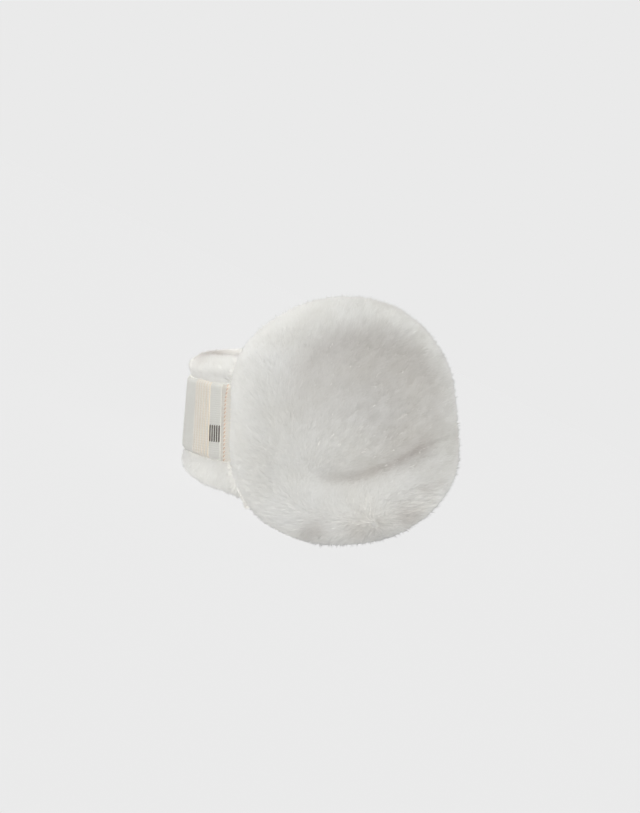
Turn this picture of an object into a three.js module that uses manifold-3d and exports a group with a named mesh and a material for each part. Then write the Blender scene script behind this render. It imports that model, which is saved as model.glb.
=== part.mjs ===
// A plush ear warmer worn behind the head: two round fur ear cups on a curved fur band, with a knit insert
// let into the outside of the band. Millimetres, +Z up. A springy frame inside keeps its form, so it stands on
// a table by itself, on the undersides of both cups and the lower back edge of the band.
//
// It is drawn as it is worn: origin midway between the cups, +X to the wearer's front, +Y to the left ear
// and +Z up. The last section leans it back until it stands, and presses its fur flat where it meets the
// table.
import * as THREE from 'three';
import { mergeVertices } from 'three/addons/utils/BufferGeometryUtils.js';
import Module from 'manifold-3d';

const wasm = await Module();
wasm.setup();

// ---- Driving dimensions ----------------------------------------------------------------------------------
const FIT_GAP = 0.35; // between pieces that touch on the real thing

const CUP_HALF_SPAN = 64; // from the middle to the widest plane of each cup
const CUP_TOE_IN = 3; // degrees that each cup turns its outer face to the front
const CUP_AROUND = 48; // steps round a cup
const CUP_SECTION_STEPS = 34; // rings from the middle of its outer face to the middle of its ear hollow
const SEAT_EDGE = 0.9; // share of the outline's radius past which a cup seats the end of the band
const SEAT_ROOM = { outwards: 28, inwards: 42 }; // that the seat leaves clear, from the cup's widest plane
const HOLLOW_DEPTH = -8.6; // of the ear hollow, inwards from the cup's widest plane
const FACE_DEPTH = 14; // of the outer face, outwards from the widest plane

const BAND_REACH = 82.7; // from the cups' centres to the outside of the band at the back
const BAND_HALF_WIDTH = 73; // from the middle to where the outside of the band would pass the cups' centres
const BAND_SQUARENESS = 2.3; // 2 is an ellipse in plan, and more runs straighter along the sides
const BAND_STEPS = 40; // sections along the band
const ROLL_STEPS = 6; // steps over the rounded top and bottom edges of the band

// Depths in the band, inwards from the crests of the ribs.
const FUR_DEPTH = 2.2; // to the crown of the fur above and below the insert
const CHANNEL_DEPTH = 4.4; // to the floor of the channel that takes the insert
const FLAT_KNIT_DEPTH = 0.6; // to the smooth parts of the insert
const KNIT_EDGE = { drop: 1.0, width: 3.0 }; // the insert's top and bottom edges are rounded off
const RIBS = 6;
const RIB_HEIGHT = 1.2;
const RIB_STEPS = 6; // sections for each rib

const TABLE_PRESS = 1.2; // how far the fur flattens where it stands
const TABLE_SIZE = 500;
const MOST_LEAN = 45; // degrees that are searched for the lean at which it stands
const LEAN_HALVINGS = 30; // of those degrees in that search

// Outline of a cup round its centre, seen from outside: 0 degrees to the front, 90 up.
const CUP_OUTLINE = [
  { angle: 0, radius: 53.6 },
  { angle: 30, radius: 55.6 },
  { angle: 60, radius: 57.8 },
  { angle: 90, radius: 57.7 },
  { angle: 120, radius: 57.4 },
  { angle: 150, radius: 57.8 },
  { angle: 180, radius: 53.5 },
  { angle: 210, radius: 59.6 },
  { angle: 240, radius: 62.8 },
  { angle: 270, radius: 60.3 },
  { angle: 300, radius: 61.3 },
  { angle: 330, radius: 60.3 },
];

// Section of a cup from its outer face, over the rim and the ring behind it, into the ear hollow. reach is a
// share of the outline's radius, and depth is outwards from the cup's widest plane.
const CUP_SECTION = [
  { reach: 0.08, depth: 14.0 },
  { reach: 0.18, depth: 14.0 },
  { reach: 0.28, depth: 13.9 },
  { reach: 0.38, depth: 13.8 },
  { reach: 0.48, depth: 13.6 },
  { reach: 0.58, depth: 13.3 },
  { reach: 0.68, depth: 12.5 },
  { reach: 0.78, depth: 10.9 },
  { reach: 0.88, depth: 7.9 },
  { reach: 0.96, depth: 3.2 },
  { reach: 1.0, depth: -2.5 },
  { reach: 0.98, depth: -8.4 },
  { reach: 0.89, depth: -14.2 },
  { reach: 0.74, depth: -17.4 },
  { reach: 0.6, depth: -16.8 },
  { reach: 0.48, depth: -12.2 },
  { reach: 0.33, depth: -9.2 },
  { reach: 0.15, depth: -8.6 },
];

// The outer face of a cup is not flat: a soft valley runs round its middle, and the rim is fuller below.
// angle is as on the outline. valley is the valley's distance from the cup's centre, sunk its depth, and
// inside and outside the half widths of its two sides. full is how much the rim stands up beyond it.
const FACE_FORM = [
  { angle: 0, valley: 45, sunk: 2.0, inside: 11, outside: 6, full: 0.2 },
  { angle: 30, valley: 43, sunk: 2.6, inside: 12, outside: 8, full: 0.3 },
  { angle: 60, valley: 39, sunk: 2.8, inside: 12, outside: 9, full: 0.6 },
  { angle: 90, valley: 33, sunk: 2.6, inside: 10, outside: 10, full: 0.6 },
  { angle: 120, valley: 31, sunk: 1.8, inside: 10, outside: 10, full: 0.4 },
  { angle: 150, valley: 31, sunk: 0.9, inside: 10, outside: 10, full: 0.2 },
  { angle: 180, valley: 31, sunk: 0.4, inside: 10, outside: 9, full: 0.2 },
  { angle: 210, valley: 29, sunk: 0.8, inside: 9, outside: 9, full: 0.8 },
  { angle: 240, valley: 27, sunk: 2.6, inside: 8, outside: 10, full: 2.2 },
  { angle: 270, valley: 26, sunk: 4.6, inside: 8, outside: 10.5, full: 3.4 },
  { angle: 300, valley: 27.5, sunk: 5.2, inside: 8, outside: 9.5, full: 3.4 },
  { angle: 330, valley: 36, sunk: 5.0, inside: 9, outside: 7, full: 1.8 },
];
const FULL_RIM = { distance: 45, halfWidth: 13 }; // where the rim stands up, from the cup's centre

// Sections of the band. along is from the middle of its back towards either cup; top and bottom are the
// edges of the fur, insertTop and insertBottom those of the knit insert; lean tips its top to the front, in
// degrees.
const BAND_SECTIONS = [
  { along: 0, top: 29.2, bottom: -32.0, insertTop: 18.6, insertBottom: -18.4, thickness: 15, lean: 5.5 },
  { along: 40, top: 29.6, bottom: -33.4, insertTop: 18.0, insertBottom: -19.2, thickness: 15, lean: 4.0 },
  { along: 66, top: 29.2, bottom: -37.0, insertTop: 17.2, insertBottom: -21.6, thickness: 13, lean: 2.0 },
  { along: 80, top: 29.5, bottom: -45.0, insertTop: 17.2, insertBottom: -21.6, thickness: 10.5, lean: 0.5 },
  { along: 110, top: 33.0, bottom: -54.0, insertTop: 17.2, insertBottom: -21.6, thickness: 9, lean: 0 },
];
const BAND_HALF_LENGTH = 110;

// Where each part of the insert ends, along the band from the middle of its back.
const BACK_PANEL_END = 38;
const RIB_PANEL_END = 52.8;
const END_PANEL_END = 61.8;
const BINDING_END = 65;

// ---- Tables ----------------------------------------------------------------------------------------------
const { degToRad, lerp } = THREE.MathUtils;

// A column of a table whose rows rise by key, read along straight lines between its rows.
function between(table, key, at, column) {
  const next = Math.max(1, table.findIndex((row) => row[key] >= at));
  const [a, b] = [table[next - 1], table[next]];
  return lerp(a[column], b[column], (at - a[key]) / (b[key] - a[key]));
}

// A column of a table of evenly spaced angles, read along a smooth closed curve.
function around(table, angle, column) {
  const place = ((angle / 360 + 1) % 1) * table.length;
  const row = Math.floor(place);
  const value = (step) => table[(row + step + table.length) % table.length][column];
  const [a, b, c, d] = [value(-1), value(0), value(1), value(2)];
  const t = place - row;
  return b + 0.5 * t * (c - a + t * (2 * a - 5 * b + 4 * c - d + t * (3 * (b - c) + d - a)));
}

// ---- Surfaces --------------------------------------------------------------------------------------------
// A closed skin over rings of equal length; each end ring is closed to a middle point of its own. Each
// four-sided face is split along its shorter diagonal.
function skin(rings, startPoint = middleOf(rings[0]), endPoint = middleOf(rings.at(-1))) {
  const size = rings[0].length;
  const points = [startPoint, ...rings.flat(), endPoint];
  const index = [];
  const at = (ring, step) => 1 + ring * size + (step % size);
  const apart = (i, j) => points[i].distanceTo(points[j]);
  for (let step = 0; step < size; step++) {
    index.push(0, at(0, step), at(0, step + 1));
    index.push(points.length - 1, at(rings.length - 1, step + 1), at(rings.length - 1, step));
    for (let ring = 0; ring < rings.length - 1; ring++) {
      const [a, b] = [at(ring, step), at(ring, step + 1)];
      const [c, d] = [at(ring + 1, step), at(ring + 1, step + 1)];
      if (apart(b, c) < apart(a, d)) index.push(a, c, b, b, c, d);
      else index.push(a, c, d, a, d, b);
    }
  }
  return new THREE.BufferGeometry().setFromPoints(points).setIndex(index);
}

function middleOf(ring) {
  return ring.reduce((sum, point) => sum.add(point), new THREE.Vector3()).divideScalar(ring.length);
}

// A copy of a geometry moved by a matrix, with its faces turned back outwards where the matrix mirrors it.
function placed(geometry, matrix) {
  const copy = geometry.clone().applyMatrix4(matrix);
  if (matrix.determinant() < 0) copy.index.array.reverse();
  return copy;
}

function toSolid(geometry) {
  const bare = geometry.clone();
  bare.deleteAttribute('normal');
  bare.deleteAttribute('uv');
  const merged = mergeVertices(bare);
  return new wasm.Manifold(new wasm.Mesh({
    numProp: 3,
    vertProperties: merged.attributes.position.array,
    triVerts: new Uint32Array(merged.index.array),
  }));
}

function toGeometry(solid) {
  const mesh = solid.getMesh();
  const geometry = new THREE.BufferGeometry();
  geometry.setAttribute('position', new THREE.BufferAttribute(mesh.vertProperties, 3));
  geometry.setIndex(new THREE.BufferAttribute(mesh.triVerts, 1));
  return geometry;
}

// ---- Ear cups --------------------------------------------------------------------------------------------
// How far the outer face of a cup stands up at a point of its plane, over its plain section.
function faceRise(angle, distance) {
  const form = (column) => around(FACE_FORM, angle, column);
  const bump = (away, halfWidth) => Math.exp(-((away / halfWidth) ** 2));
  const away = distance - form('valley');
  const valley = form('sunk') * bump(away, form(away < 0 ? 'inside' : 'outside'));
  return form('full') * bump(distance - FULL_RIM.distance, FULL_RIM.halfWidth) - valley;
}

// A point on the right cup in the cup's own frame, its outside towards -Y.
function onCup(angle, reach, depth) {
  const distance = around(CUP_OUTLINE, angle, 'radius') * reach;
  const faceShare = THREE.MathUtils.smoothstep(depth, 0, FACE_DEPTH / 2);
  const outwards = depth + faceRise(angle, distance) * faceShare;
  const turn = degToRad(angle);
  return new THREE.Vector3(distance * Math.cos(turn), -outwards, distance * Math.sin(turn));
}

const cupSpline = new THREE.SplineCurve(CUP_SECTION.map((row) => new THREE.Vector2(row.reach, row.depth)));
const cupProfile = cupSpline.getPoints(CUP_SECTION_STEPS).map((at) => ({ reach: at.x, depth: at.y }));

function cupRing(reach, depth) {
  return Array.from({ length: CUP_AROUND }, (_, step) => onCup((360 * step) / CUP_AROUND, reach, depth));
}

function earCup() {
  const rings = cupProfile.map(({ reach, depth }) => cupRing(reach, depth));
  return skin(rings, onCup(0, 0, FACE_DEPTH), onCup(0, 0, HOLLOW_DEPTH));
}

// What is cut out of an end of the band to seat it against its cup: the edge of the cup, wider by the gap,
// and the room outside and inside it.
function cupSeat() {
  const edge = cupProfile.filter(({ reach }) => reach > SEAT_EDGE);
  const outerEnd = { reach: edge[0].reach, depth: SEAT_ROOM.outwards };
  const innerEnd = { reach: edge.at(-1).reach, depth: -SEAT_ROOM.inwards };
  const gapShare = FIT_GAP / CUP_OUTLINE[0].radius;
  return skin([outerEnd, ...edge, innerEnd].map(({ reach, depth }) => cupRing(reach + gapShare, depth)));
}

// ---- Band ------------------------------------------------------------------------------------------------
// The outside of the band in plan, from the left end round the back to the right end.
class BandPath extends THREE.Curve {
  getPoint(t, target = new THREE.Vector3()) {
    const turn = lerp(-Math.PI / 2, Math.PI / 2, t);
    const rounded = (value) => Math.sign(value) * Math.abs(value) ** (2 / BAND_SQUARENESS);
    return target.set(-BAND_REACH * rounded(Math.cos(turn)), -BAND_HALF_WIDTH * rounded(Math.sin(turn)), 0);
  }
}
const bandPath = new BandPath();
bandPath.arcLengthDivisions = 2000;

const bandSize = (along, column) => between(BAND_SECTIONS, 'along', Math.abs(along), column);

// A point of the band: along it towards the right ear from the middle of its back, out from the crests of
// the ribs, and up from the cups' centres.
function onBand(along, out, up) {
  const share = 0.5 + along / bandPath.getLength();
  const tangent = bandPath.getTangentAt(share);
  const outward = new THREE.Vector3(tangent.y, -tangent.x, 0);
  const lean = degToRad(bandSize(along, 'lean'));
  const middle = (bandSize(along, 'top') + bandSize(along, 'bottom')) / 2;
  const away = out * Math.cos(lean) - (up - middle) * Math.sin(lean);
  const height = middle + (up - middle) * Math.cos(lean) + out * Math.sin(lean);
  return bandPath.getPointAt(share).addScaledVector(outward, away).setZ(height);
}

// A piece along the band, each section of it a list of [out, up] that section gives for its place along the
// band and its share of the piece's length.
function alongBand(from, to, steps, section) {
  return skin(Array.from({ length: steps + 1 }, (_, step) => {
    const along = lerp(from, to, step / steps);
    return section(along, step / steps).map(([out, up]) => onBand(along, out, up));
  }));
}

// Half a circle in a section of the band, from one angle to the other.
function roll(out, up, radius, fromAngle, toAngle) {
  return Array.from({ length: ROLL_STEPS + 1 }, (_, step) => {
    const angle = degToRad(lerp(fromAngle, toAngle, step / ROLL_STEPS));
    return [out + radius * Math.cos(angle), up + radius * Math.sin(angle)];
  });
}

function furSection(along) {
  const radius = bandSize(along, 'thickness') / 2;
  const middle = -FUR_DEPTH - radius;
  const [top, bottom] = [bandSize(along, 'top') - radius, bandSize(along, 'bottom') + radius];
  const side = (out) => [0.25, 0.5, 0.75].map((share) => [out, lerp(top, bottom, share)]);
  return [
    ...roll(middle, top, radius, 0, 180),
    ...side(middle - radius),
    ...roll(middle, bottom, radius, 180, 360),
    ...side(middle + radius).reverse(),
  ];
}

const bandFur = () => alongBand(-BAND_HALF_LENGTH, BAND_HALF_LENGTH, BAND_STEPS, furSection);

// A stretch of the insert, its outer face at the depth that depthAt gives for a share of its length.
function insertPart(from, to, steps, depthAt) {
  const back = FIT_GAP - CHANNEL_DEPTH;
  return alongBand(from, to, steps, (along, share) => {
    const [top, bottom] = [bandSize(along, 'insertTop'), bandSize(along, 'insertBottom')];
    const face = -depthAt(share);
    return [
      [back, bottom],
      [face - KNIT_EDGE.drop, bottom],
      [face, bottom + KNIT_EDGE.width],
      [face, top - KNIT_EDGE.width],
      [face - KNIT_EDGE.drop, top],
      [back, top],
    ];
  });
}

const flat = () => FLAT_KNIT_DEPTH;
const ribs = (share) => RIB_HEIGHT * (0.5 + 0.5 * Math.cos(2 * Math.PI * RIBS * share));
const backPanel = () => insertPart(FIT_GAP - BACK_PANEL_END, BACK_PANEL_END - FIT_GAP, 16, flat);
const ribPanel = () => insertPart(BACK_PANEL_END, RIB_PANEL_END, RIBS * RIB_STEPS, ribs);
const endPanel = () => insertPart(RIB_PANEL_END + FIT_GAP, END_PANEL_END - FIT_GAP, 4, flat);
const edgeBinding = () => insertPart(END_PANEL_END, BINDING_END, 3, flat);

// What is cut out of the band for the insert.
function channel() {
  const end = BINDING_END + FIT_GAP;
  return alongBand(-end, end, BAND_STEPS / 2, (along) => {
    const top = bandSize(along, 'insertTop') + FIT_GAP;
    const bottom = bandSize(along, 'insertBottom') - FIT_GAP;
    return [[-CHANNEL_DEPTH, bottom], [0, bottom], [0, top], [-CHANNEL_DEPTH, top]];
  });
}

// ---- Materials -------------------------------------------------------------------------------------------
const finish = (color, roughness) => new THREE.MeshStandardMaterial({ color, roughness, metalness: 0 });
const fur = finish('#eceeea', 1);
const ribKnit = finish('#dcd6c8', 0.9);
const smoothKnit = finish('#dedcd4', 0.85);
const bindingKnit = finish('#e2d5c0', 0.9);

// ---- Assembly as worn ------------------------------------------------------------------------------------
const worn = new THREE.Group();

function addPiece(parent, name, geometry, material) {
  const mesh = new THREE.Mesh(geometry, material);
  mesh.name = name;
  parent.add(mesh);
  return mesh;
}

// The two sides mirror each other across the middle plane.
const cups = [['right', 1], ['left', -1]].map(([side, mirror]) => {
  const half = new THREE.Group();
  half.scale.y = mirror;
  worn.add(half);
  addPiece(half, `${side}_rib_panel`, ribPanel(), ribKnit);
  addPiece(half, `${side}_end_panel`, endPanel(), smoothKnit);
  addPiece(half, `${side}_edge_binding`, edgeBinding(), bindingKnit);
  const cup = addPiece(half, `${side}_ear_cup`, earCup(), fur);
  cup.position.y = -CUP_HALF_SPAN;
  cup.rotation.z = degToRad(CUP_TOE_IN);
  return cup;
});
addPiece(worn, 'back_panel', backPanel(), smoothKnit);

worn.updateMatrixWorld(true);
let bandSolid = toSolid(bandFur()).subtract(toSolid(channel()));
cups.forEach((cup) => {
  bandSolid = bandSolid.subtract(toSolid(placed(cupSeat(), cup.matrixWorld)));
});
const band = addPiece(worn, 'band_fur', toGeometry(bandSolid), fur);

// ---- Standing on the table -------------------------------------------------------------------------------
// The lowest point of a mesh once the whole thing leans back by an angle about the line through the cups.
function lowestPoint(mesh, lean) {
  const box = new THREE.Box3();
  const turn = new THREE.Matrix4().makeRotationY(-lean).multiply(mesh.matrixWorld);
  box.setFromBufferAttribute(placed(mesh.geometry, turn).attributes.position);
  return box.min.z;
}

// It leans back until the band is as low as the cups.
worn.updateMatrixWorld(true);
let [tooLittle, tooMuch] = [0, degToRad(MOST_LEAN)];
for (let halving = 0; halving < LEAN_HALVINGS; halving++) {
  const lean = (tooLittle + tooMuch) / 2;
  if (lowestPoint(band, lean) > lowestPoint(cups[0], lean)) tooLittle = lean;
  else tooMuch = lean;
}
const standingLean = (tooLittle + tooMuch) / 2;
worn.rotation.y = -standingLean;
worn.position.z = -lowestPoint(band, standingLean) - TABLE_PRESS;
worn.updateMatrixWorld(true);

// What the table would cut off is pressed flat: those pieces leave the leaning group with their new
// undersides.
const standing = new THREE.Group();
standing.add(worn);
const underTable = new THREE.BoxGeometry(TABLE_SIZE, TABLE_SIZE, TABLE_SIZE);
underTable.translate(0, 0, -TABLE_SIZE / 2);
for (const mesh of [...cups, band]) {
  const pressed = toSolid(placed(mesh.geometry, mesh.matrixWorld)).subtract(toSolid(underTable));
  mesh.removeFromParent();
  addPiece(standing, mesh.name, toGeometry(pressed), mesh.material);
}

// The origin is under the middle of the whole.
const middle = new THREE.Box3().setFromObject(standing, true).getCenter(new THREE.Vector3());
standing.position.set(-middle.x, -middle.y, 0);

export default standing;
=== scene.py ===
"""A plush ear warmer worn behind the head: fur ear cups on a fur band with a knit insert, on a pale table.

Tables and sizes are in millimetres in the worn frame: origin midway between the cups, +X to the wearer's
front, +Y to the left ear, +Z up. Meshes are in metres as it stands, leaning back on its cups and band.
"""

import math

import bmesh
import bpy
import numpy as np
from mathutils import Matrix, Vector
from mathutils.bvhtree import BVHTree
from mathutils.kdtree import KDTree


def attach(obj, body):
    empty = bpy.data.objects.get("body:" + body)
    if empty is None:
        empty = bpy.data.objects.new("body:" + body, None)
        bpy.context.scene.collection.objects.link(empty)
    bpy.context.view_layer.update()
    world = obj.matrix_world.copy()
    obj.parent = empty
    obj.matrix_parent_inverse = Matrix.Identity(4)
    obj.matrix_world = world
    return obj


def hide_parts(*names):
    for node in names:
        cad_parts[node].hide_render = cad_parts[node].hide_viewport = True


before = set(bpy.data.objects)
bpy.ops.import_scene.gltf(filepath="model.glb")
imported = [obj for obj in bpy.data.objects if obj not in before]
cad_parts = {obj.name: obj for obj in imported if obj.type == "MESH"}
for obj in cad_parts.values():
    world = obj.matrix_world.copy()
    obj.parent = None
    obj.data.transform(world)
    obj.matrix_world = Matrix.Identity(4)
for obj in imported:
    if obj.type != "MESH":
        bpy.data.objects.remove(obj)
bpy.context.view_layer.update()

MM = 0.001
SIDES = {"right": 1, "left": -1}

# ---- The worn frame as it stands ---------------------------------------------------------------------------
STANDING_LEAN = math.radians(25.4135)
STANDING = Matrix.Translation((10.166 * MM, 0, 61.437 * MM)) @ Matrix.Rotation(-STANDING_LEAN, 4, "Y")
STANDING_TURN = np.array(STANDING.to_3x3())
STANDING_SHIFT = np.array(STANDING.translation)


def worn_points(points):
    """Points of the standing frame, in metres, as millimetres of the worn frame."""
    return (points - STANDING_SHIFT) @ STANDING_TURN / MM


# ---- Sizes -------------------------------------------------------------------------------------------------
PILE_DEPTH = 2.0  # from the crown of the fur down to its backing
FLOOR_GAP = 0.25  # that the pressed fur keeps to the table

BAND_REACH = 82.7
BAND_HALF_WIDTH = 73
BAND_SQUARENESS = 2.3
INSERT_DEPTH = 1.0  # of the ribs' crests under the fur's outer form
FLAT_KNIT_DEPTH = INSERT_DEPTH + 0.6
KNIT_THICKNESS = 1.2
KNIT_EDGE_DROP = 1.0
KNIT_EDGE_WIDTH = 2.2
RIBS = 6
RIB_HEIGHT = 1.3
BACK_PANEL_END = 38
RIB_PANEL_END = 52.8
END_PANEL_END = 61.8
BINDING_END = 65
UNDER_CUP = 3.5  # that the tape runs on under the fur of the cup
FIT_GAP = 0.35

BAND_SECTIONS = {
    "along": (0, 40, 66, 80, 110),
    "top": (29.2, 29.6, 29.2, 29.5, 33.0),
    "bottom": (-32.0, -33.4, -37.0, -45.0, -54.0),
    "insert_top": (18.2, 17.6, 15.6, 15.6, 15.6),
    "insert_bottom": (-18.2, -19.0, -21.2, -21.2, -21.2),
    "lean": (5.5, 4.0, 2.0, 0.5, 0),
}


# ---- Objects -----------------------------------------------------------------------------------------------
def add_object(name, mesh):
    obj = bpy.data.objects.new(name, mesh)
    bpy.context.scene.collection.objects.link(obj)
    return obj


def add_piece(name, mesh, material):
    mesh.materials.clear()
    mesh.materials.append(material)
    piece = add_object(name, mesh)
    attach(piece, "root")
    return piece


def mesh_from(bm, name, smooth=True):
    mesh = bpy.data.meshes.new(name)
    for face in bm.faces:
        face.smooth = smooth
    bm.to_mesh(mesh)
    bm.free()
    return mesh


def surface_of(*nodes):
    """CAD nodes as one mesh with merged vertices."""
    bm = bmesh.new()
    for node in nodes:
        bm.from_mesh(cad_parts[node].data)
    bmesh.ops.remove_doubles(bm, verts=bm.verts, dist=1e-6)
    return bm


# ---- Materials ---------------------------------------------------------------------------------------------
class Shader:
    """A Principled material with short ways to add its nodes."""

    def __init__(self, name, roughness, sheen=0.0, specular=0.3):
        self.material = bpy.data.materials.new(name)
        self.material.use_nodes = True
        self.nodes = self.material.node_tree.nodes
        self.links = self.material.node_tree.links
        self.base = self.nodes["Principled BSDF"]
        self.base.inputs["Roughness"].default_value = roughness
        self.base.inputs["Sheen Weight"].default_value = sheen
        self.base.inputs["Sheen Roughness"].default_value = 0.6
        self.base.inputs["Specular IOR Level"].default_value = specular

    def node(self, kind, inputs=None, **settings):
        made = self.nodes.new("ShaderNode" + kind)
        for key, value in settings.items():
            setattr(made, key, value)
        for key, value in (inputs or {}).items():
            if isinstance(value, bpy.types.NodeSocket):
                self.links.new(value, made.inputs[key])
            else:
                made.inputs[key].default_value = value
        return made

    def attribute(self, name, output="Fac"):
        return self.node("Attribute", attribute_name=name).outputs[output]

    def place(self):
        return self.node("TexCoord").outputs["Object"]

    def noise(self, vector, scale, detail=2.0):
        return self.node("TexNoise", {"Vector": vector, "Scale": scale, "Detail": detail}).outputs["Fac"]

    def math(self, operation, a, b=0.0, c=0.0):
        return self.node("Math", {0: a, 1: b, 2: c}, operation=operation).outputs[0]

    def ramp(self, value, stops):
        ramp = self.node("ValToRGB", {"Fac": value})
        for element, (position, colour) in zip(ramp.color_ramp.elements, (stops[0], stops[-1])):
            element.position, element.color = position, (*colour, 1)
        for position, colour in stops[1:-1]:
            ramp.color_ramp.elements.new(position).color = (*colour, 1)
        return ramp.outputs["Color"]

    def mix(self, share, a, b, blend="MIX"):
        mix = self.node("Mix", data_type="RGBA", blend_type=blend)
        for socket, value in ((mix.inputs[0], share), (mix.inputs[6], a), (mix.inputs[7], b)):
            if isinstance(value, bpy.types.NodeSocket):
                self.links.new(value, socket)
            else:
                socket.default_value = (*value, 1) if isinstance(value, tuple) else value
        return mix.outputs[2]

    def colour(self, socket):
        self.links.new(socket, self.base.inputs["Base Color"])

    def bump(self, height, distance, strength=1.0):
        bump = self.node("Bump", {"Height": height, "Distance": distance, "Strength": strength})
        self.links.new(bump.outputs["Normal"], self.base.inputs["Normal"])


def fur_material():
    shader = Shader("ivory_plush_pile", roughness=0.95, sheen=0.2, specular=0.1)
    # Each blade darkens towards its root: painted shade down in the pile.
    along = shader.ramp(shader.attribute("hair"), (
        (0.0, (0.65, 0.64, 0.616)),
        (0.45, (0.756, 0.755, 0.736)),
        (1.0, (0.804, 0.803, 0.789)),
    ))
    # Locks and tufts are darkened at random: painted shade between the locks.
    tuft = shader.ramp(shader.attribute("tuft"), ((0.0, (0.87, 0.865, 0.855)), (1.0, (1.0, 1.0, 1.0))))
    patch = shader.noise(shader.place(), 45, 2)
    soft = shader.ramp(patch, ((0.3, (0.96, 0.955, 0.94)), (0.7, (1.0, 1.0, 1.0))))
    # Painted shade: darker and warmer in the cups' creases, dark spots and hollow, and on the band's crest,
    # bend, inside and insert edges.
    painted_shade = shader.ramp(shader.attribute("painted_shade"), ((0.0, (1.0, 1.0, 1.0)), (1.0, (0.66, 0.62, 0.60))))
    colour = shader.mix(1.0, shader.mix(1.0, along, tuft, "MULTIPLY"), soft, "MULTIPLY")
    shader.colour(shader.mix(1.0, colour, painted_shade, "MULTIPLY"))
    return shader.material


def backing_material():
    shader = Shader("plush_backing", roughness=0.95, sheen=0.1, specular=0.1)
    fuzz = shader.noise(shader.place(), 900, 3)
    shader.colour(shader.ramp(fuzz, ((0.3, (0.76, 0.75, 0.725)), (0.7, (0.86, 0.855, 0.835)))))
    shader.bump(fuzz, 0.0006)
    return shader.material


def knit_height(shader, wale, course):
    """Height of a jersey stitch, 0 to 1: two slanting legs in each wale."""
    weave = shader.node("SeparateXYZ", {0: shader.attribute("weave", "Vector")})
    across = shader.math("FRACT", shader.math("DIVIDE", weave.outputs[0], wale))
    leg = shader.math("ABSOLUTE", shader.math("SUBTRACT", across, 0.5))
    climb = shader.math("MULTIPLY_ADD", leg, 1.5, shader.math("DIVIDE", weave.outputs[1], course))
    round_leg = shader.math("SINE", shader.math("MULTIPLY", leg, 2 * math.pi))
    round_loop = shader.math("ABSOLUTE", shader.math("SINE", shader.math("MULTIPLY", climb, math.pi)))
    return shader.math("MULTIPLY", round_leg, shader.math("POWER", round_loop, 0.6))


def knit_material(name, wale, course, groove, crest, depth, between_ribs=None):
    shader = Shader(name, roughness=0.9, sheen=0.45, specular=0.15)
    height = knit_height(shader, wale, course)
    patch = shader.noise(shader.place(), 120, 2)
    fuzz = shader.noise(shader.place(), 1600, 2)
    # The stitches are darker in their hollows: painted shade between the yarn legs, over the relief that the
    # bump gives.
    stitch = shader.ramp(height, ((0.0, groove), (0.75, crest)))
    soft = shader.ramp(patch, ((0.3, (0.965, 0.965, 0.96)), (0.7, (1.0, 1.0, 1.0))))
    # Between the ribs the knit is tan and darker: partly the tan of the yarn there, partly painted shade in
    # the grooves.
    if between_ribs:
        crest_share = shader.node("SeparateXYZ", {0: shader.attribute("weave", "Vector")}).outputs[2]
        rib = shader.ramp(crest_share, ((0.25, between_ribs), (0.75, (1.0, 1.0, 1.0))))
        stitch = shader.mix(1.0, stitch, rib, "MULTIPLY")
    shader.colour(shader.mix(1.0, stitch, soft, "MULTIPLY"))
    shader.bump(shader.math("MULTIPLY_ADD", fuzz, 0.35, height), depth)
    return shader.material


def thread_material(name, dark, light):
    shader = Shader(name, roughness=0.7, sheen=0.1, specular=0.25)
    twist = shader.noise(shader.place(), 2500, 2)
    shader.colour(shader.ramp(twist, ((0.3, dark), (0.7, light))))
    shader.bump(twist, 0.0002)
    return shader.material


plush = fur_material()
backing = backing_material()
jersey = knit_material("ivory_jersey", 1.3, 1.05, (0.93, 0.92, 0.85), (0.985, 0.975, 0.915), 0.0002)
rib_knit = knit_material("cream_rib", 1.2335, 1.2, (0.88, 0.84, 0.76), (0.98, 0.95, 0.88), 0.00018,
                         (0.86, 0.76, 0.64))
tape_knit = knit_material("cream_tape", 1.1, 1.0, (0.88, 0.83, 0.74), (0.98, 0.945, 0.87), 0.0002)
tan_thread = thread_material("tan_thread", (0.66, 0.47, 0.34), (0.84, 0.66, 0.52))
taupe_thread = thread_material("taupe_thread", (0.075, 0.06, 0.05), (0.16, 0.13, 0.115))


# ---- Fur backing -------------------------------------------------------------------------------------------
def backing_skin(name, nodes, voxel, inset, shaped=None):
    """An even closed skin over CAD nodes, drawn in by the depth of its pile and by what shaped adds to it."""
    raw = add_object("raw", mesh_from(surface_of(*nodes), "raw"))
    remesh = raw.modifiers.new("even", "REMESH")
    remesh.mode = "VOXEL"
    remesh.voxel_size = voxel * MM
    first = raw.modifiers.new("soften", "SMOOTH")
    first.factor, first.iterations = 0.5, 3
    draw_in = raw.modifiers.new("draw_in", "DISPLACE")
    draw_in.mid_level, draw_in.strength = 0, -inset * MM
    last = raw.modifiers.new("settle", "SMOOTH")
    last.factor, last.iterations = 0.5, 2
    evaluated = raw.evaluated_get(bpy.context.evaluated_depsgraph_get())
    mesh = bpy.data.meshes.new_from_object(evaluated)
    mesh.name = name
    bpy.data.objects.remove(raw)
    mesh.polygons.foreach_set("use_smooth", np.ones(len(mesh.polygons), bool))
    if shaped:
        places, normals = vectors_of(mesh, "co"), vectors_of(mesh, "normal")
        places -= normals * shaped(places, normals)[:, None] * MM
        mesh.vertices.foreach_set("co", places.ravel())
        mesh.update()
    return mesh


def vectors_of(mesh, kind):
    values = np.empty(len(mesh.vertices) * 3)
    mesh.vertices.foreach_get(kind, values)
    return values.reshape(-1, 3)


# ---- Pile --------------------------------------------------------------------------------------------------
def unit(vectors):
    return vectors / np.maximum(np.linalg.norm(vectors, axis=1, keepdims=True), 1e-9)


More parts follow.
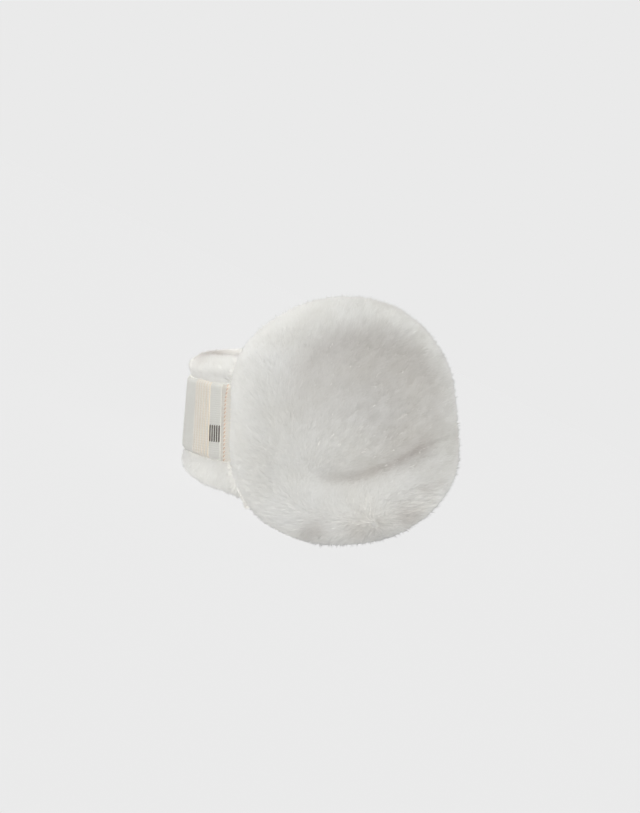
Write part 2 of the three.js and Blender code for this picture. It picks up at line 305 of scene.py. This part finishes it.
def turned(vectors, axes, angles):
    """Vectors turned about unit axes by angles."""
    cos, sin = np.cos(angles)[:, None], np.sin(angles)[:, None]
    along = (vectors * axes).sum(1, keepdims=True)
    return vectors * cos + np.cross(axes, vectors) * sin + axes * along * (1 - cos)


def bell(away, width):
    return np.exp(-((away / width) ** 2))


def drift(points, scale, seed):
    """A smooth value from about -1 to 1 that wanders over a distance of scale."""
    rng = np.random.default_rng(seed)
    total = np.zeros(len(points))
    for _ in range(6):
        direction = rng.normal(size=3)
        direction *= rng.uniform(0.6, 1.4) * 2 * math.pi / scale / np.linalg.norm(direction) / 2
        total += np.sin(points @ direction + rng.uniform(0, 2 * math.pi))
    return total / 2.5


def even_normals(mesh, rounds=12):
    """The normals of a mesh, evened with their neighbours' over and over."""
    ends = np.empty(len(mesh.edges) * 2, np.int32)
    mesh.edges.foreach_get("vertices", ends)
    first, second = ends.reshape(-1, 2).T
    normals = vectors_of(mesh, "normal")
    for _ in range(rounds):
        around = normals.copy()
        for axis in range(3):
            around[:, axis] += np.bincount(first, normals[second, axis], len(normals))
            around[:, axis] += np.bincount(second, normals[first, axis], len(normals))
        normals = unit(around)
    return normals


def roots_on(mesh, count, rng, thickness):
    """Evenly spread points of a mesh, with their normals and their evened normals."""
    mesh.calc_loop_triangles()
    corners = np.empty(len(mesh.loop_triangles) * 3, np.int32)
    mesh.loop_triangles.foreach_get("vertices", corners)
    corners = corners.reshape(-1, 3)
    places, normals = vectors_of(mesh, "co"), vectors_of(mesh, "normal")
    a, b, c = (places[corners[:, k]] for k in range(3))
    area = np.linalg.norm(np.cross(b - a, c - a), axis=1)
    middles = worn_points((a + b + c) / 3)
    facing = unit(np.cross(b - a, c - a)) @ STANDING_TURN
    area *= thickness(middles, facing)
    share = np.cumsum(area) / area.sum()
    picked = np.searchsorted(share, (np.arange(count) + rng.random(count)) / count)
    picked = np.minimum(picked, len(corners) - 1)
    far, side = np.sqrt(rng.random(count)), rng.random(count)
    weights = np.stack([1 - far, far * (1 - side), far * side], 1)

    def at_roots(values):
        return (values[corners[picked]] * weights[:, :, None]).sum(1)

    return at_roots(places), unit(at_roots(normals)), unit(at_roots(even_normals(mesh)))


def nearest_leader(points, leaders):
    tree = KDTree(len(leaders))
    for number, place in enumerate(leaders):
        tree.insert(place, number)
    tree.balance()
    return np.array([tree.find(point)[1] for point in points])


def lock_leader(points, combs, leaders):
    """The leader of the lock that each point belongs to. Locks are longer along the comb than across it."""
    tree = KDTree(len(leaders))
    for number, place in enumerate(leaders):
        tree.insert(place, number)
    tree.balance()
    near = np.array([[found[1] for found in tree.find_n(point, 8)] for point in points])
    away = leaders[near] - points[:, None]
    along = (away * combs[:, None]).sum(2)
    best = ((away**2).sum(2) - 0.88 * along**2).argmin(1)
    return near[np.arange(len(points)), best]


def pile_mesh(name, skin, count, seed, style, clearance, tuft_size=6, lock_size=34):
    """Blades of fur over a skin, in tufts and locks. style gives each blade's comb, lean and length."""
    rng = np.random.default_rng(seed)
    roots, normals, shades = roots_on(skin, count, rng, style.thickness)
    heights = [roots + normals * share * PILE_DEPTH * MM for share in (0.35, 1.0)]
    kept = np.all([clearance.keeps(points, normals) for points in heights], axis=0)
    roots, normals, shades = roots[kept], normals[kept], shades[kept]
    count = len(roots)
    worn = worn_points(roots)
    facing = normals @ STANDING_TURN
    comb, lean, length, gather = style.lay(worn, facing)
    comb = comb @ STANDING_TURN.T
    comb = unit(comb - normals * (comb * normals).sum(1, keepdims=True))
    shades = unit(shades + style.rounding(worn, facing) @ STANDING_TURN.T)

    heads = rng.permutation(count)[: count // lock_size]
    lock = lock_leader(roots, comb, roots[heads])
    locks = style.locks(worn, facing)
    beside = roots[heads][lock] - roots
    beside -= comb * (beside * comb).sum(1, keepdims=True)
    beside *= (0.3 * locks)[:, None]
    # Locks are darkened at random, which paints the shade between them.
    lock_shade = 1 - locks * rng.random(len(heads))[lock]
    comb = turned(comb, normals, locks * rng.normal(0, 0.24, len(heads))[lock])

    leaders = rng.permutation(count)[: count // tuft_size]
    leader = nearest_leader(roots, roots[leaders])
    tuft_turn = rng.normal(0, 0.12, len(leaders))[leader]
    tuft_lean = rng.normal(0, 0.05, len(leaders))[leader]
    tuft_length = rng.normal(1, 0.04, len(leaders))[leader]
    stray = rng.random(count) < 0.04
    comb = turned(comb, normals, tuft_turn + rng.normal(0, 0.16, count))
    lean = np.clip(lean + tuft_lean + rng.normal(0, 0.05, count), 0.1, 1.4)
    lean = np.where(stray, lean * 0.7, lean)
    length = length * tuft_length * rng.uniform(0.85, 1.1, count) * MM

    def heading(angle):
        return normals * np.cos(angle)[:, None] + comb * np.sin(angle)[:, None]

    first, last = heading(lean * 0.88), heading(np.minimum(lean * 1.12, 1.5))
    middles = roots + first * (length * 0.5)[:, None]
    tips = middles + last * (length * 0.5)[:, None]
    pull = np.where(stray, 0, gather * rng.uniform(0.6, 1.0, count))[:, None]
    gathered = roots[leaders][leader] - roots
    tips = tips + gathered * pull + beside
    middles = middles + gathered * pull * 0.4 + beside * 0.4

    across = turned(np.cross(normals, comb), first, rng.normal(0, 0.25, count))
    width = rng.uniform(0.75, 1.15, count) * style.width * np.where(stray, 0.6, 1) * MM
    half = across * (width / 2)[:, None]
    blade = np.stack([roots, middles - half, middles + half, tips], 1)
    blade[:, :, 2] = np.maximum(blade[:, :, 2], (FLOOR_GAP + 0.5 * rng.random(count)[:, None]) * MM)

    clear = clearance.parts(roots + normals * 0.3 * MM, tips)
    blade, roots, middles, tips, across, normals, shades, worn, facing, leader, lock_shade = (
        values[clear] for values in (
            blade, roots, middles, tips, across, normals, shades, worn, facing, leader, lock_shade))
    count = len(roots)

    own_shade = (style.own_shade * np.sin(lean[clear]) ** 4)[:, None]

    def outside_of(run):
        side = unit(np.cross(run, across))
        side *= np.sign((side * normals).sum(1, keepdims=True))
        return unit(shades * (1 - own_shade) + side * own_shade)

    low, high = outside_of(middles - roots), outside_of(tips - middles)
    middle = unit(low + high)
    shades = np.stack([low, middle, middle, high], 1)

    mesh = bpy.data.meshes.new(name)
    mesh.vertices.add(count * 4)
    mesh.vertices.foreach_set("co", blade.ravel())
    faces = np.array([[0, 1, 2], [1, 3, 2]])
    corners = (np.arange(count)[:, None, None] * 4 + faces).ravel()
    mesh.loops.add(len(corners))
    mesh.loops.foreach_set("vertex_index", corners.astype(np.int32))
    mesh.polygons.add(count * 2)
    mesh.polygons.foreach_set("loop_start", (np.arange(count * 2) * 3).astype(np.int32))
    mesh.update(calc_edges=True)
    mesh.polygons.foreach_set("use_smooth", np.ones(count * 2, bool))
    mesh.normals_split_custom_set_from_vertices(shades.reshape(-1, 3))
    hair = mesh.attributes.new("hair", "FLOAT", "POINT")
    hair.data.foreach_set("value", np.tile([0, 0.5, 0.5, 1.0], count).astype(np.float32))
    # Painted shade of each blade, which darkens it in the material.
    painted_shade = mesh.attributes.new("painted_shade", "FLOAT", "POINT")
    painted_shade.data.foreach_set("value", np.repeat(style.painted_shade(worn, facing), 4).astype(np.float32))
    tuft = mesh.attributes.new("tuft", "FLOAT", "POINT")
    # Painted shade of each blade's lock and tuft, which the material darkens it by.
    shade = 0.8 * lock_shade + 0.2 * rng.random(len(leaders))[leader]
    tuft.data.foreach_set("value", np.repeat(shade, 4).astype(np.float32))
    return mesh


class Clearance:
    """What a pile keeps clear of: its roots keep a gap to the surfaces, and no blade runs through them."""

    def __init__(self, surfaces, gap):
        self.tree, self.gap = BVHTree.FromBMesh(surfaces), gap * MM

    def keeps(self, points, normals):
        """Whether each point is farther than the gap from the surfaces and not under them."""
        kept = np.ones(len(points), bool)
        for number, (point, normal) in enumerate(zip(points, normals)):
            if self.tree.find_nearest(point, self.gap)[0] is not None:
                kept[number] = False
                continue
            facing = self.tree.ray_cast(point, normal, 8 * MM)[1]
            kept[number] = facing is None or facing.dot(Vector(normal)) < 0
        return kept

    def parts(self, starts, ends):
        """Whether each run from start to end stays on one side of the surfaces."""
        runs = ends - starts
        lengths = np.linalg.norm(runs, axis=1)
        rays = zip(starts, runs, lengths)
        return np.array([self.tree.ray_cast(start, run, length)[0] is None for start, run, length in rays])


def along_line(x, z, line):
    """Distance of points from a line of (x, z) points, and the line's direction there."""
    nearest, toward = np.full(len(x), 1e9), np.zeros((len(x), 2))
    for (ax, az), (bx, bz) in zip(line, line[1:]):
        run = np.array([bx - ax, bz - az])
        share = np.clip(((x - ax) * run[0] + (z - az) * run[1]) / (run @ run), 0, 1)
        away = np.hypot(x - ax - share * run[0], z - az - share * run[1])
        closer = away < nearest
        nearest = np.where(closer, away, nearest)
        toward[closer] = run / np.linalg.norm(run)
    return nearest, toward


CREASE = ((-14, -27), (-4.7, -28.2), (4.7, -27.2), (9.3, -25.4), (14, -23.4), (18.6, -21.6), (23.3, -19.5),
          (28, -16.4), (32.6, -14.4), (37.3, -12.7), (43, -12))
SMALL_CREASE = ((33.5, -33), (42, -30))
WHORL = (13.5, -48.5)
DENT = (-15.4, -53.0)
# Dark spots low on the cups, the first at the dent of the skin: x, z, size and how much shade is painted
# there
DENT_SHADES = (
    (*DENT, 5, 0.25),
    (-10.5, -50.5, 5.5, 0.28),
    (8, -50.3, 5.5, 0.28),
    (16, -51.5, 4, 0.1),
    (24.5, -44.5, 5, 0.28),
    (29.5, -46, 6, 0.3),
)


def cup_shape(side):
    """How much deeper the backing of a cup lies at its creases."""
    def shaped(places, normals):
        worn, facing = worn_points(places), normals @ STANDING_TURN
        x, z = worn[:, 0], worn[:, 2]
        face = np.clip(-facing[:, 1] * side * 2, 0, 1)
        crease = along_line(x, z, CREASE)[0]
        depth = 0.8 * bell(crease, 3.2) * np.clip((x + 16) / 24, 0, 1)
        depth += 1.5 * bell(along_line(x, z, SMALL_CREASE)[0], 2.2)
        depth += 0.6 * bell(np.hypot(x - WHORL[0], z - WHORL[1]), 6)
        depth += 1.6 * bell(np.hypot(x - DENT[0], z - DENT[1]), 5)
        return depth * face
    return shaped


class CupFur:
    """How the fur of a cup lies. side is 1 on the right and -1 on the left."""

    width = 0.46
    own_shade = 0.42  # how far a blade is shaded by its own side rather than by the surface's

    def __init__(self, side, outer):
        self.side, self.outer = side, outer

    def thickness(self, worn, facing):
        """Fur on the half that this piece covers, and none on the other."""
        outward = -facing[:, 1] * self.side
        return np.where((outward > -0.25) == self.outer, 1.0, 0.0)

    def painted_shade(self, worn, facing):
        """Painted shade in the pile, darker and warmer: along the creases, at the dark spots low on the face,
        softly over the hollow.
        """
        x, z = worn[:, 0], worn[:, 2]
        face = np.clip(-facing[:, 1] * self.side * 1.5, 0, 1)
        inside = np.clip((42.5 - np.hypot(np.where(x > 7, 1.02, 1.06) * (x - 7), z - 3)) / 9, 0, 1)
        hollow = 0.37 * np.clip((0.2 * x + 0.95 * z + 14) / 40, 0, 1) * inside
        away = along_line(x, z, CREASE)[0]
        across = 0.62 * bell(away, 3.2) + 0.38 * bell(away, 7.5)
        crease = across * np.interp(x, (-20, -10, 5, 18, 32, 36, 42), (0, 0.26, 0.5, 0.52, 0.64, 0.5, 0))
        small_crease_shade = 0.25 * bell(along_line(x, z, SMALL_CREASE)[0], 2.4)
        small_crease_shade += 0.15 * bell(np.hypot(x - 19, z + 9), 11)
        dent_shade = sum(share * bell(np.hypot(x - dent_x, z - dent_z), size)
                    for dent_x, dent_z, size, share in DENT_SHADES)
        return np.clip(hollow + crease + small_crease_shade + dent_shade, 0, 1) * face

    def locks(self, worn, facing):
        """How far the pile parts into locks, and how much darker the locks are painted at random as shade
        between them: clearly to the front and at the whorl, hardly elsewhere.
        """
        x, z = worn[:, 0], worn[:, 2]
        face = np.clip(-facing[:, 1] * self.side * 2, 0, 1)
        whorl = bell(np.hypot(x - WHORL[0], z - WHORL[1]), 9)
        front = np.clip((x + 35) / 45, 0.2, 1) * np.clip((z + 32) / 12, 0.15, 1)
        return face * np.clip(front + 0.7 * whorl, 0, 1)

    def rounding(self, worn, facing):
        """The pile shades the face as a fuller dome than its skin, and rolls into the crease to the front."""
        x, z = worn[:, 0], worn[:, 2]
        face = np.clip(-facing[:, 1:2] * self.side * 1.5, 0, 1)
        below = np.interp(x, *zip(*CREASE)) - z
        roll = (bell(below - 9, 6) - 0.6 * bell(below + 9, 7)) * np.clip((x - 8) / 20, 0, 1)
        return face * (0.3 * worn * (1, 0, 1) / 50 + 0.3 * roll[:, None] * (0, 0, 1))

    def lay(self, worn, facing):
        """The nap runs from the whorl low on the face, over the rim and into the ear hollow."""
        x, z = worn[:, 0], worn[:, 2]
        outward = -facing[:, 1] * self.side
        radius = np.hypot(x, z) + 1e-6
        face, inside = np.clip(outward, 0, 1), np.clip(-outward, 0, 1)
        rim = 1 - np.abs(outward)
        dx, dz = x - WHORL[0], z - WHORL[1]
        away = np.hypot(dx, dz) + 1e-6
        to_front = np.clip((x + 45) / 30, 0, 1) * np.clip(away / 30, 0, 1)
        comb = np.zeros((len(x), 3))
        sweep = 0.7 + 0.35 * drift(worn, 38, 5) + 0.2 * drift(worn, 14, 6)
        comb[:, 0] = face * (0.9 * dx / away + to_front * sweep)
        comb[:, 2] = face * 0.9 * dz / away
        comb[:, 1] = 0.9 * rim * self.side
        comb[:, 0] -= 1.4 * inside * x / radius
        comb[:, 2] -= 1.4 * inside * z / radius
        crease, toward = along_line(x, z, CREASE)
        beside = bell(crease, 4) * face
        comb[:, 0] += 0.8 * beside * toward[:, 0]
        comb[:, 2] += 0.8 * beside * toward[:, 1]
        lean = 1.28 - 0.08 * bell(away, 8) * face
        length = 5.0 - 0.2 * rim - 1.2 * bell(crease, 3.0) * face
        gather = 0.25 + 0 * x
        return comb, lean, length, gather


def low_corner(worn):
    """Where the low corners of the band meet the cups."""
    return np.clip((-33 - worn[:, 2]) / 4, 0, 1) * np.clip((np.abs(worn[:, 1]) - 45) / 6, 0, 1)


class BandFur:
    """How the fur of the band lies."""

    width = 0.48
    own_shade = 0.52

    def __init__(self, outer):
        self.outer = outer

    def beside_knit(self, worn, facing):
        """How near a place is to the upper or lower edge of the insert."""
        near = bell(worn[:, 2] - 17.5, 2.5) + bell(worn[:, 2] + 21, 2.5)
        return near * np.clip(2 * self.outside(worn, facing), 0, 1)

    def painted_shade(self, worn, facing):
        """Painted shade in the pile: on the crest, more so towards the bend, at the bend, inside the band and
        a little at the insert's edges.
        """
        top = 0.28 + 0.3 * np.clip((-60 - worn[:, 0]) / 8, 0, 1)
        crest_and_inside_shade = top * np.clip(facing[:, 2], 0, 1) ** 2 + 0.3 * np.clip(-self.outside(worn, facing), 0, 1)
        bend = 0.35 * np.clip((-65 - worn[:, 0]) / 5, 0, 1) * bell(worn[:, 2] - 26, 5)
        return np.clip(crest_and_inside_shade + bend + 0.05 * self.beside_knit(worn, facing), 0, 1)

    def locks(self, worn, facing):
        return np.full(len(worn), 0.2)

    def rounding(self, worn, facing):
        """The pile above the insert rises towards the crest of the band."""
        above = bell(worn[:, 2] - 20.5, 5) * np.clip(2 * self.outside(worn, facing), 0, 1)
        return above[:, None] * (0, 0, 1)

    def outside(self, worn, facing):
        return (facing[:, :2] * unit(worn[:, :2])).sum(1)

    def thickness(self, worn, facing):
        return np.where((self.outside(worn, facing) > -0.2) == self.outer, 1.0, 0.0)

    def lay(self, worn, facing):
        """The nap runs from the insert over the band's edges, and along it in the middle of its inside."""
        along = unit(np.stack([worn[:, 1], -worn[:, 0], 0 * worn[:, 0]], 1))
        over = np.clip((worn[:, 2] + 3) / 12, -1, 1)
        to_middle = np.clip(-worn[:, 1] / 25, -1, 1)
        comb = np.cross(along, facing) * over[:, None]
        comb += along * (0.8 * (1 - np.abs(over)) + 0.5 * to_middle + 0.25 * drift(worn, 30, 15))[:, None]
        beside = self.beside_knit(worn, facing)
        corner = low_corner(worn)
        lean = 1.28 - 0.42 * beside + 0.12 * corner
        length = 5.0 - 2.0 * beside - 1.5 * corner
        gather = 0.25 + 0 * lean
        return comb, lean, length, gather


PANEL_NODES = ["back_panel"] + [f"{side}_{part}" for side in SIDES for part in
                                ("rib_panel", "end_panel", "edge_binding")]
band_surface = surface_of("band_fur", *PANEL_NODES)
CUP_BLADES = {True: 92000, False: 52000}
BAND_BLADES = {True: 86000, False: 54000}

PARTS = {True: "outer", False: "inner"}

for seed, (side, sign) in enumerate(SIDES.items()):
    node = f"{side}_ear_cup"
    skin = backing_skin(f"{side}_cup_backing", [node], 2.2, PILE_DEPTH, cup_shape(sign))
    cup = add_piece(f"{side}_cup_backing", skin, backing)
    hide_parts(node)
    for outer in (True, False):
        name = f"{side}_cup_{PARTS[outer]}_pile"
        pile = pile_mesh(name, skin, CUP_BLADES[outer], 10 * seed + outer, CupFur(sign, outer),
                         Clearance(band_surface, 1.0))
        add_piece(name, pile, plush)


# ---- Knit insert -------------------------------------------------------------------------------------------
def rounded(value):
    return np.sign(value) * np.abs(value) ** (2 / BAND_SQUARENESS)


PLAN_TURNS = np.linspace(-math.pi / 2, math.pi / 2, 4001)
PLAN = np.stack(
    [-BAND_REACH * rounded(np.cos(PLAN_TURNS)), -BAND_HALF_WIDTH * rounded(np.sin(PLAN_TURNS))], 1)
PLAN_LENGTH = np.concatenate([[0], np.cumsum(np.linalg.norm(np.diff(PLAN, axis=0), axis=1))])


def plan_point(along):
    at = PLAN_LENGTH[-1] / 2 + along
    return np.array([np.interp(at, PLAN_LENGTH, PLAN[:, k]) for k in range(2)])


def band_size(along, column):
    return float(np.interp(abs(along), BAND_SECTIONS["along"], BAND_SECTIONS[column]))


def on_band(along, out, up):
    """A point of the band as it stands: along it towards the right ear, out from its ribs' crests, and up."""
    before, after = plan_point(along - 0.3), plan_point(along + 0.3)
    tangent = (after - before) / np.linalg.norm(after - before)
    outward = np.array([tangent[1], -tangent[0]])
    lean = math.radians(band_size(along, "lean"))
    middle = (band_size(along, "top") + band_size(along, "bottom")) / 2
    away = out * math.cos(lean) - (up - middle) * math.sin(lean)
    height = middle + (up - middle) * math.cos(lean) + out * math.sin(lean)
    x, y = plan_point(along) + outward * away
    return STANDING @ (Vector((x, y, height)) * MM)


KNIT = []


def knit_piece(name, start, end, steps, material, side=1, depth_at=None, rows=26):
    """A stretch of the insert along the band, its face at a depth below the fur's outer form."""
    bm = bmesh.new()
    weave = bm.verts.layers.float_vector.new("weave")
    bmesh.ops.create_grid(bm, x_segments=steps, y_segments=rows, size=0.5)
    for vert in bm.verts:
        share, rise = vert.co.x + 0.5, vert.co.y + 0.5
        along = start + (end - start) * share
        top, bottom = band_size(along, "insert_top"), band_size(along, "insert_bottom")
        up = bottom + (top - bottom) * rise
        edge = min(max(1 - min(up - bottom, top - up) / KNIT_EDGE_WIDTH, 0), 1)
        face_depth = depth_at(share) if depth_at else FLAT_KNIT_DEPTH
        depth = face_depth + KNIT_EDGE_DROP * (1 - math.sqrt(1 - edge ** 2))
        crest = 1 - (depth_at(share) - INSERT_DEPTH) / RIB_HEIGHT if depth_at else 1
        vert[weave] = (along - start, up, crest)
        vert.co = on_band(side * along, -depth, up)
    if side == -1:
        bmesh.ops.reverse_faces(bm, faces=bm.faces)
    mesh = mesh_from(bm, name)
    piece = add_piece(name, mesh, material)
    KNIT.append(piece)
    wall = piece.modifiers.new("thickness", "SOLIDIFY")
    wall.thickness, wall.offset = KNIT_THICKNESS * MM, -1
    return piece


def rib_depth(share):
    return INSERT_DEPTH + RIB_HEIGHT * (1 - abs(math.sin(math.pi * RIBS * share)) ** 0.7)


half_back = BACK_PANEL_END - FIT_GAP
back = knit_piece("jersey_back", -half_back, half_back, 60, jersey)
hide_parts("back_panel")
for side, sign in SIDES.items():
    ribs = knit_piece(f"{side}_ribs", BACK_PANEL_END, RIB_PANEL_END, 72, rib_knit, sign,
                      rib_depth)
    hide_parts(f"{side}_rib_panel")
    end_piece = knit_piece(f"{side}_jersey_end", RIB_PANEL_END + FIT_GAP, END_PANEL_END - FIT_GAP, 10, jersey,
                           sign)
    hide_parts(f"{side}_end_panel")
    tape = knit_piece(f"{side}_tape", END_PANEL_END, BINDING_END + UNDER_CUP, 8, tape_knit, sign)
    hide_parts(f"{side}_edge_binding")


# ---- Fur of the band ---------------------------------------------------------------------------------------
def under_insert(places, normals):
    """The backing lies under the knit, comes up a little around it, and is drawn in at the low edge."""
    tree = BVHTree.FromBMesh(surface_of(*PANEL_NODES))
    reach = 6.0
    found = [tree.find_nearest(place, reach * MM)[3] for place in places]
    away = np.array([reach if distance is None else distance / MM for distance in found])
    under = INSERT_DEPTH + RIB_HEIGHT + 0.3 - PILE_DEPTH
    worn = worn_points(places)
    around = np.where(worn[:, 2] > 0, -0.8, -0.2) * np.clip((5.2 - away) / 2, 0, 1)
    around = around + 0.5 * np.clip((-30 - worn[:, 2]) / 6, 0, 1)
    return np.where(away < PILE_DEPTH + 0.4, under, around)


band_skin = backing_skin("band_backing", ["band_fur"] + PANEL_NODES, 1.8, PILE_DEPTH, under_insert)
band = add_piece("band_backing", band_skin, backing)
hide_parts("band_fur")
beside_band = surface_of("right_ear_cup", "left_ear_cup")
for knit in KNIT:
    beside_band.from_mesh(knit.data)
for outer in (True, False):
    name = f"band_{PARTS[outer]}_pile"
    pile = pile_mesh(name, band_skin, BAND_BLADES[outer], 40 + outer, BandFur(outer),
                     Clearance(beside_band, 0.25))
    add_piece(name, pile, plush)


# ---- Threads on the insert ---------------------------------------------------------------------------------
STITCH_LINE = ((66.2, 16.4), (64.6, 9), (64.3, 0), (64.3, -21))  # along the band and up, beside the cup
STITCH_PITCH = 1.9
STITCH_SIZE = (1.9, 0.55, 0.45)
MOTIF_MIDDLE = (57.4, -7.8)
MOTIF_BARS = 5
BAR_PITCH = 1.65
BAR_SIZE = (1.15, 8.0)
BAR_THREADS = 15


def add_stitch(bm, side, along, up, slant, size):
    """One stitch of thread that lies on the insert, as a bowed bead."""
    length, width, height = size
    depth = FLAT_KNIT_DEPTH
    middle = on_band(side * along, -depth, up)
    beside = (on_band(side * (along + 0.5), -depth, up) - middle).normalized()
    above = (on_band(side * along, -depth, up + 0.5) - middle).normalized()
    outward = (on_band(side * along, 1 - depth, up) - middle).normalized()
    run = beside * math.cos(slant) + above * math.sin(slant)
    across = outward.cross(run)
    bead = bmesh.ops.create_uvsphere(bm, u_segments=8, v_segments=6, radius=0.5)["verts"]
    for vert in bead:
        x, y, z = vert.co.z * length, vert.co.x * width, vert.co.y * height
        bow = 0.5 * height * (1 - (2 * x / length) ** 2)
        vert.co = middle + (run * x + across * y + outward * (z + bow)) * MM
    if side == -1:
        bmesh.ops.reverse_faces(bm, faces=list({face for vert in bead for face in vert.link_faces}))


def at_share(line, share):
    """The point a share of the way up a line of (along, up) points."""
    runs = [math.dist(a, b) for a, b in zip(line, line[1:])]
    reached = np.concatenate([[0], np.cumsum(runs)]) / sum(runs)
    return [float(np.interp(share, reached, [point[k] for point in line])) for k in range(2)]


for side, sign in SIDES.items():
    bm = bmesh.new()
    seam = sum(math.dist(a, b) for a, b in zip(STITCH_LINE, STITCH_LINE[1:]))
    count = round(seam / STITCH_PITCH)
    for number in range(count):
        along, up = at_share(STITCH_LINE, (number + 0.5) / count)
        add_stitch(bm, sign, along, up, math.radians(52), STITCH_SIZE)
    add_piece(f"{side}_seam_stitches", mesh_from(bm, "stitches"), tan_thread)

bm = bmesh.new()
for bar in range(MOTIF_BARS):
    along = MOTIF_MIDDLE[0] + (bar - (MOTIF_BARS - 1) / 2) * BAR_PITCH
    for thread in range(BAR_THREADS):
        up = MOTIF_MIDDLE[1] + ((thread + 0.5) / BAR_THREADS - 0.5) * BAR_SIZE[1]
        add_stitch(bm, 1, along, up, math.radians(8), (BAR_SIZE[0], BAR_SIZE[1] / BAR_THREADS * 1.1, 0.35))
add_piece("embroidered_bars", mesh_from(bm, "bars"), taupe_thread)


# ---- Table, background and light ---------------------------------------------------------------------------
SKY = 0.8228
TABLE = 0.06
# name, direction in the worn frame that it shines from, strength, angle, whether it casts shadows
SUNS = (
    ("ceiling", (0, 0, 1), 1.45, 110, True),
    ("window", (-0.45, 0.32, 0.83), 0.37, 110, True),
    ("ceiling_fill", (0, 0, 1), 0.52, 60, False),
    ("back_of_head_fill", (-1, 0, 0), 1.37, 60, False),
    ("front_fill", (1, 0, 0), 0.3, 60, False),
    ("near_fill", (0, -1, 0), 0.64, 60, False),
    ("near_back_fill", (-0.8, -0.6, 0), 0.4, 60, False),
    ("near_front_fill", (0.8, -0.6, 0), 0.67, 60, False),
    ("low_front_fill", (0.7, 0, -0.7), 0.36, 60, False),
    ("low_fill", (0, 0, -1), 0.68, 60, False),
    ("far_fill", (0, 1, 0), 0.5, 60, False),
)


def glow_material(name, glow, albedo=0.0):
    material = bpy.data.materials.new(name)
    material.use_nodes = True
    base = material.node_tree.nodes["Principled BSDF"]
    base.inputs["Base Color"].default_value = (albedo, albedo, albedo, 1)
    base.inputs["Roughness"].default_value = 1
    base.inputs["Specular IOR Level"].default_value = 0
    base.inputs["Emission Color"].default_value = (1, 1, 1, 1)
    base.inputs["Emission Strength"].default_value = glow
    return material


def toward(direction):
    """A direction of the worn frame, as it stands on the table."""
    return (STANDING.to_3x3() @ Vector(direction)).normalized()


def stage():
    lit = sum(strength * max(toward(direction).z, 0) / math.pi for _, direction, strength, _, _ in SUNS)
    bm = bmesh.new()
    bmesh.ops.create_circle(bm, cap_ends=True, segments=64, radius=40)
    table = add_object("table", mesh_from(bm, "table"))
    table.data.materials.append(glow_material("pale_table", SKY - TABLE * lit, TABLE))
    for ray in ("diffuse", "glossy", "transmission", "volume_scatter"):
        setattr(table, "visible_" + ray, False)


def sun(name, direction, strength, angle, shadow):
    """A sun that shines from a direction of the worn frame."""
    light = bpy.data.lights.new(name, "SUN")
    light.use_shadow = shadow
    light.energy, light.angle = strength, math.radians(angle)
    light.cycles.use_multiple_importance_sampling = False
    lamp = add_object(name, light)
    lamp.rotation_mode = "QUATERNION"
    lamp.rotation_quaternion = toward(direction).to_track_quat("Z", "Y")


def backdrop(strength):
    """A pale background that is seen and gives no light of its own."""
    made = bpy.data.worlds.new("studio")
    made.use_nodes = True
    made.node_tree.nodes["Background"].inputs["Color"].default_value = (1, 1, 1, 1)
    made.node_tree.nodes["Background"].inputs["Strength"].default_value = strength
    for ray in ("diffuse", "glossy", "transmission", "scatter"):
        setattr(made.cycles_visibility, ray, False)
    bpy.context.scene.world = made


CAMERA_TARGET = Vector((-11.65, -67, 6.3)) * MM
CAMERA_RISE = math.radians(4.5)
CAMERA_DISTANCE = 610 * MM


def camera():
    lens = bpy.data.cameras.new("camera")
    lens.lens = 57.96
    lens.clip_start, lens.clip_end = 0.01, 200
    view = add_object("camera", lens)
    sight = Vector((0, math.cos(CAMERA_RISE), -math.sin(CAMERA_RISE)))
    place = Matrix.Translation(CAMERA_TARGET - sight * CAMERA_DISTANCE)
    view.matrix_world = STANDING @ place @ Matrix.Rotation(math.pi / 2 - CAMERA_RISE, 4, "X")
    bpy.context.scene.camera = view


stage()
backdrop(SKY)
for lamp in SUNS:
    sun(*lamp)
camera()
bpy.context.scene.view_settings.view_transform = "Standard"
